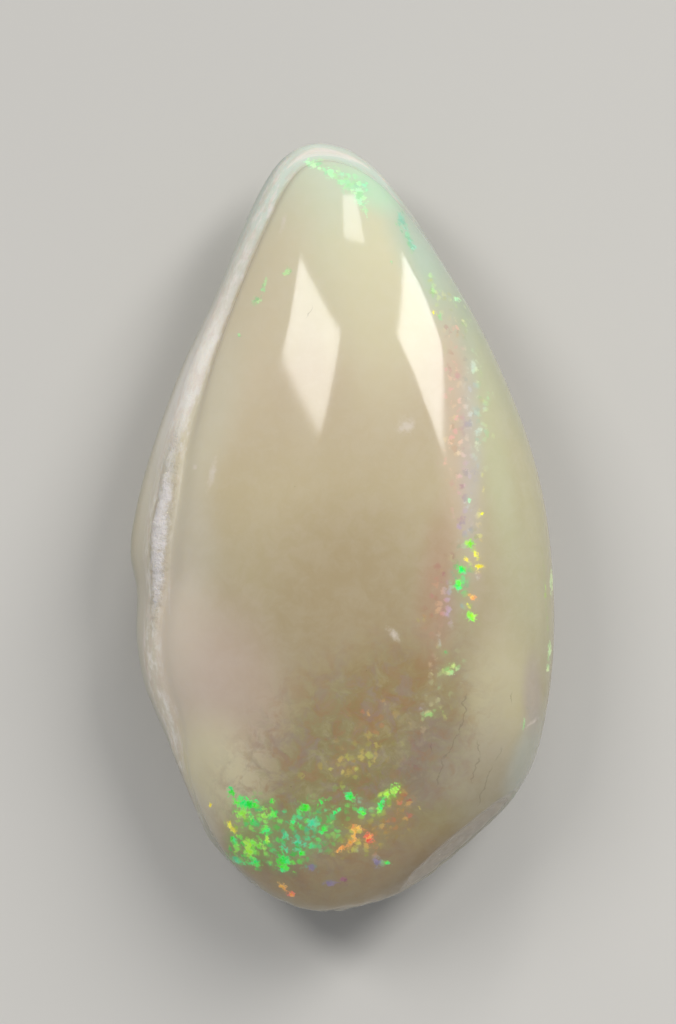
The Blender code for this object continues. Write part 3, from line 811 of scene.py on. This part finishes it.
def fire_colour(tree, below, place):
    """Fire over the milk: a haze, a mosaic of small lit cells in it, and bright flecks. The
    second value is how much of a fleck shows, and the third is the flecks' colour."""
    glow, inside = (add(tree, "Attribute", attribute_name=name).outputs["Fac"]
                    for name in ("glow", "fleck"))
    glow_hue, fleck_hue = (add(tree, "Attribute", attribute_name=name)
                           for name in ("glow_colour", "fleck_colour"))
    drift = add(tree, "TexNoise", {
        "Vector": place, "Scale": 1 / DRIFT_SIZE, "Detail": 5.0, "Roughness": 0.7})
    bent = add(tree, "VectorMath", (drift.outputs["Color"], (DRIFT_WIDTH,) * 3, place), **TIMES_PLUS)
    cells = add(tree, "TexVoronoi", {"Vector": bent, "Scale": 1 / CELL_SIZE})
    cell_red, cell_green, cell_blue = add(tree, "SeparateColor", (cells.outputs["Color"],)).outputs
    ragged = add(tree, "Math", (drift, HAZE_RAGGED, glow), **TIMES_PLUS)
    colour = paint(tree, below, glow_hue, (ragged, *HAZE_SHOWS), (glow, *GLOW_SHOWS))

    lit = add(tree, "Math", (cell_red, CELL_RAGGED, glow), **TIMES_PLUS)
    bright = add(tree, "HueSaturation", {
        "Hue": add(tree, "MapRange", (cell_green, *HAZE_HUES), **SMOOTH),
        "Saturation": HAZE_RICHNESS,
        "Value": add(tree, "MapRange", (cell_blue, *HAZE_VALUES), **SMOOTH),
        "Color": glow_hue})
    colour = paint(tree, colour, bright, (lit, *CELL_LIT), (cells, *CELL_ROUND),
                   (glow, *CELL_SHOWS), (glow, *GLOW_SHOWS))

    torn = add(tree, "TexNoise", {
        "Vector": place, "Scale": 1 / TORN_SIZE, "Detail": 3.0, "Roughness": 0.6})
    depth = add(tree, "Math", (torn, FLECK_TORN, inside), **TIMES_PLUS)
    depth = add(tree, "Math", (cells, FLECK_NIBBLED, depth), **TIMES_PLUS)
    fleck_hue = add(tree, "HueSaturation", {
        "Hue": add(tree, "MapRange", (cell_green, *FLECK_HUES), **SMOOTH),
        "Saturation": add(tree, "MapRange", (depth, *FLECK_RICHNESS), **SMOOTH),
        "Value": add(tree, "MapRange", (cell_blue, *FLECK_VALUES), **SMOOTH),
        "Color": fleck_hue})
    fleck = add(tree, "MapRange", (depth, *FLECK_SHOWS), **SMOOTH)
    return paint(tree, colour, fleck_hue, (fleck,), (FLECK_SHARE,)), fleck, fleck_hue


def small_marks(tree, below, place, past, crest, broken):
    """Chalky scuffs, tiny painted glints of light where the stone is rough, and a few dark specks."""
    fine = add(tree, "TexNoise", {
        "Vector": place, "Scale": 1 / SCUFF_SIZE, "Detail": 5.0, "Roughness": 0.7})
    scuff = add(tree, "Attribute", attribute_name="scuff").outputs["Fac"]
    chalk = add(tree, "Math", (fine, SCUFF_RAGGED, scuff), **TIMES_PLUS)
    colour = paint(tree, below, SCUFF_WHITE, (chalk, *SCUFF_SHOWS))
    dots = add(tree, "TexVoronoi", {"Vector": place, "Scale": 1 / DOT_SIZE})
    dot_red, dot_green = add(tree, "SeparateColor", (dots.outputs["Color"],)).outputs[:2]
    lip = share_of(tree, (past, *LIP_SHOWS), (past, *LIP_ENDS))
    rugged = add(tree, "Math", (lip, LIP_GLINTS, crest), **TIMES_PLUS)
    rugged = add(tree, "Math", (broken, BREAK_GLINTS, rugged), **TIMES_PLUS)
    painted_glints = add(tree, "Math", (rugged, ROUGH_GLINTS, dot_red), **TIMES_PLUS)
    # Painted glints: white dots where the stone is rough, in place of light its facets catch
    colour = paint(tree, colour, PAINTED_GLINT_WHITE, (dots, *PAINTED_GLINT_ROUND), (painted_glints, *PAINTED_GLINT_SHOWS))
    return paint(tree, colour, CRACK_GREY, (dots, *SPECK_ROUND), (dot_green, *SPECK_SHOWS))


def crack_share(tree, place, x_place, y_place):
    """One in the cracks, which run unevenly between their ends."""
    share = 0.0
    wander = add(tree, "TexNoise", {"Vector": place, "Scale": 1 / WANDER_SIZE, "Detail": 4.0})
    for (x_top, y_top), (x_end, y_end) in CRACKS:
        slope = (x_end - x_top) / (y_end - y_top)
        line = add(tree, "Math", (y_place, slope, x_top - slope * y_top - WANDER_WIDTH / 2),
                   **TIMES_PLUS)
        line = add(tree, "Math", (wander, WANDER_WIDTH, line), **TIMES_PLUS)
        gap = add(tree, "Math", (x_place, line), operation="SUBTRACT")
        gap = add(tree, "Math", (gap,), operation="ABSOLUTE")
        crack = share_of(tree, (gap, *CRACK_SIDES),
                         (y_place, y_end - CRACK_PAST, y_end + CRACK_TAPER),
                         (y_place, y_top + CRACK_PAST, y_top - CRACK_TAPER))
        share = add(tree, "Math", (crack, share), operation="MAXIMUM")
    return share


def opal_material():
    """Precious opal that replaced shell, ground and hand polished. To the eye it is milky and
    glassy: light soaks in and comes back soft, and small flecks of pure colour show in the
    belly. The unpolished crest is rough and white, and the broken faces rough and grey."""
    material = bpy.data.materials.new("milky opal, hand polished")
    material.use_nodes = True
    tree = material.node_tree
    metres = add(tree, "TexCoord").outputs["Object"]
    place = add(tree, "VectorMath", (metres, 1 / MM), operation="SCALE")
    flat_place = add(tree, "VectorMath", (place, (1, 1, 0)), **TIMES)
    x_place, y_place = add(tree, "SeparateXYZ", (place,)).outputs[:2]
    length_share = add(tree, "MapRange", (y_place, -HALF_LENGTH, HALF_LENGTH))
    past, rise, crest, broken = (add(tree, "Attribute", attribute_name=name).outputs["Fac"]
                                 for name in ("past_seam", "rise", "crest", "broken"))
    front = add(tree, "MapRange", (rise, *FRONT_SHOWS), **SMOOTH)
    colour = body_colour(tree, place, flat_place, length_share, front)
    colour = margin_colour(tree, colour, past, y_place, length_share, rise)

    bruise = add(tree, "TexNoise", {
        "Vector": place, "Scale": 1 / BRUISE_SIZE, "Detail": 6.0, "Roughness": 0.75})
    uneven = add(tree, "TexNoise", {"Vector": place, "Scale": 1 / UNEVEN_SIZE, "Detail": 2.0})
    bruised = share_of(tree, (bruise,), (crest,), (y_place, *CREST_FADES), (uneven, *CREST_GAPS))
    colour = paint(tree, colour, CREST_WHITE, (bruised, *CREST_SHOWS))
    # The broken faces' own grey, lightened as painted light against their shade
    colour = paint(tree, colour, BREAK_GREY_AND_PAINTED_LIGHT, (broken,), (bruise, *BREAK_SHOWS))
    colour = small_marks(tree, colour, place, past, crest, broken)
    colour, fleck, fleck_hue = fire_colour(tree, colour, place)
    crack = share_of(tree, (crack_share(tree, place, x_place, y_place),), (front,))
    colour = paint(tree, colour, CRACK_GREY, (crack,), (CRACK_SHARE,))

    # The polish is glassy, and the margin, the crest and the broken faces are less so
    worn = add(tree, "MapRange", (past, *WORN_SHOWS), **SMOOTH)
    rough = add(tree, "Math", (crest, CREST_ROUGH, worn), **TIMES_PLUS)
    rough = add(tree, "Math", (broken, BREAK_ROUGH, rough), **TIMES_PLUS)
    chips = share_of(tree, (bruise,), (crest, *CHIP_DEPTHS))
    grinding = share_of(tree, (bruise,), (worn,))
    height = add(tree, "Math", (grinding, WORN_DEPTH, chips), **TIMES_PLUS)
    height = add(tree, "Math", (crack, -CRACK_DEPTH, height), **TIMES_PLUS)
    opaque = add(tree, "Math", (fleck, crest))
    connect(tree, tree.nodes["Principled BSDF"], {
        "Base Color": colour,
        "Roughness": add(tree, "Math", (rough, POLISHED)),
        "Normal": add(tree, "Bump", {"Height": height, "Strength": 1.0, "Distance": MM}),
        "Subsurface Weight": add(tree, "MapRange", (opaque, *MILKY), **SMOOTH),
        "Subsurface Radius": SOAK_COLOURS,
        "Subsurface Scale": SOAK_DEPTH * MM,
        # Painted glow: the flecks shine with light of their own, in place of the fire the stone sends
        # back
        "Emission Color": add(tree, "Mix", (fleck, linear("#000000"), fleck_hue), **COLOURS),
        "Emission Strength": FIRE_PAINTED_GLOW,
        "IOR": OPAL_IOR,
        "Metallic": 0.0,
    })
    return material


def floor_material():
    """Matt painted board: pale, without gloss, with a faint unevenness in the paint."""
    material = bpy.data.materials.new("matt painted board")
    material.use_nodes = True
    tree = material.node_tree
    metres = add(tree, "TexCoord").outputs["Object"]
    clouds = add(tree, "TexNoise", {
        "Vector": metres, "Scale": 1 / (BOARD_CLOUDS * MM), "Detail": 2.0})
    connect(tree, tree.nodes["Principled BSDF"], {
        "Base Color": add(tree, "Mix", (clouds, linear(BOARD_DARK), linear(BOARD_PALE)), **COLOURS),
        "Roughness": BOARD_ROUGH,
        "Specular IOR Level": BOARD_SHINE,
    })
    return material


def keep_values(mesh, name, values):
    """Keep a value or a colour for each point of a mesh."""
    kind, field = ("FLOAT", "value") if values.ndim == 1 else ("FLOAT_COLOR", "color")
    layer = mesh.attributes.new(name, kind, "POINT")
    layer.data.foreach_set(field, np.ascontiguousarray(values, dtype=np.float32).ravel())


def build_clam():
    """The opal clam as one fine closed mesh, in the place of the solid."""
    mesh = bpy.data.meshes.new("opal_clam")
    shape = bmesh.new()
    bmesh.ops.create_uvsphere(shape, u_segments=SECTORS, v_segments=LEVELS, radius=1.0)
    shape.to_mesh(mesh)
    shape.free()
    directions = np.empty(len(mesh.vertices) * 3)
    mesh.vertices.foreach_get("co", directions)
    points, *values = clam_points(directions.reshape(-1, 3))
    points = into_box(points * MM, cad_box)
    mesh.vertices.foreach_set("co", points.ravel())
    on_front = values[1] > 0
    front_fire = fire_fields(points / MM, FRONT_FLECKS, FRONT_HAZE, FRONT_VEILS)
    back_fire = fire_fields(points / MM, scattered_flecks(BACK_FIRE), {}, {})
    for front, back in zip(front_fire, back_fire):
        side = on_front if front.ndim == 1 else on_front[:, None]
        values.append(np.where(side, front, back))
    scuffs = [bell(oval_distance(points / MM, spot), SCUFF_REACH) for spot in SCUFFS]
    values.append(np.max(scuffs, axis=0) * on_front)
    names = ("past_seam", "rise", "crest", "broken",
             "fleck", "fleck_colour", "glow", "glow_colour", "scuff")
    for name, layer in zip(names, values):
        keep_values(mesh, name, layer)
    mesh.materials.append(opal_material())
    mesh.shade_smooth()
    mesh.update()
    clam = bpy.data.objects.new("opal_clam", mesh)
    bpy.context.scene.collection.objects.link(clam)
    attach(clam, "root")
    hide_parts("opalized_clam")


def build_floor():
    """Wide pale floor under the clam."""
    mesh = bpy.data.meshes.new("floor")
    shape = bmesh.new()
    bmesh.ops.create_grid(shape, x_segments=2, y_segments=2, size=BOARD_HALF * MM)
    shape.to_mesh(mesh)
    shape.free()
    mesh.materials.append(floor_material())
    floor = bpy.data.objects.new("floor", mesh)
    bpy.context.scene.collection.objects.link(floor)


# Soft lights: middle, the two sides as vectors, and brightness in watts per square metre and
# steradian. They stand where the stone's highlights show them.
SOFT_LIGHTS = {
    "left_softbox": ((-125, 100, 255), (-35, -35, 90), (-135, 80, -20), 9.5),
    "right_softbox": ((220, 195, 325), (105, -20, 260), (230, 220, -75), 10.6),
    "top_softbox": ((25, 200, 155), (40, -45, -65), (35, 100, -45), 6.0),
}
LIGHT_COLOUR = (1.0, 0.985, 0.96)
ROOM_COLOUR = (0.93, 0.95, 1.0, 1.0)
ROOM_STRENGTH = 0.335
CAMERA_PLACE = (-0.22, 0.875, 406.66)
OUTLINE_LEVEL = 6.66             # height of the clam's widest line
VIEW_HEIGHT = 56.0               # what the picture's height shows at that level
SENSOR = 36.0
NEAREST, FARTHEST = 10.0, 10000.0    # the camera sees from one to the other


def hang_softbox(name, middle, width, length, brightness):
    """Rectangular soft light with its sides along two vectors, shining towards the clam."""
    middle, width, length = (Vector(value) * MM for value in (middle, width, length))
    away = width.cross(length).normalized()
    if away.dot(middle) < 0:
        away, width = -away, -width
    upright = away.cross(width).normalized()
    lamp = bpy.data.lights.new(name, "AREA")
    lamp.shape = "RECTANGLE"
    lamp.size = width.length
    lamp.size_y = length.length
    lamp.energy = brightness * math.pi * width.length * length.length
    lamp.color = LIGHT_COLOUR
    item = bpy.data.objects.new(name, lamp)
    item.matrix_world = (Matrix.Translation(middle)
                         @ Matrix((width.normalized(), upright, away)).transposed().to_4x4())
    bpy.context.scene.collection.objects.link(item)


def light_room():
    """Pale even light from all round."""
    world = bpy.data.worlds.new("pale room")
    world.use_nodes = True
    background = world.node_tree.nodes["Background"]
    background.inputs["Color"].default_value = ROOM_COLOUR
    background.inputs["Strength"].default_value = ROOM_STRENGTH
    bpy.context.scene.world = world


def place_camera():
    """Camera straight above the clam, with the beak at the top of the picture."""
    lens = bpy.data.cameras.new("camera")
    lens.sensor_width = SENSOR
    lens.lens = SENSOR * (CAMERA_PLACE[2] - OUTLINE_LEVEL) / VIEW_HEIGHT
    lens.clip_start = NEAREST * MM
    lens.clip_end = FARTHEST * MM
    camera = bpy.data.objects.new("camera", lens)
    camera.location = Vector(CAMERA_PLACE) * MM
    bpy.context.scene.collection.objects.link(camera)
    bpy.context.scene.camera = camera


place_camera()
build_clam()
build_floor()
for light_name, setting in SOFT_LIGHTS.items():
    hang_softbox(light_name, *setting)
light_room()
bpy.context.scene.view_settings.view_transform = "Standard"
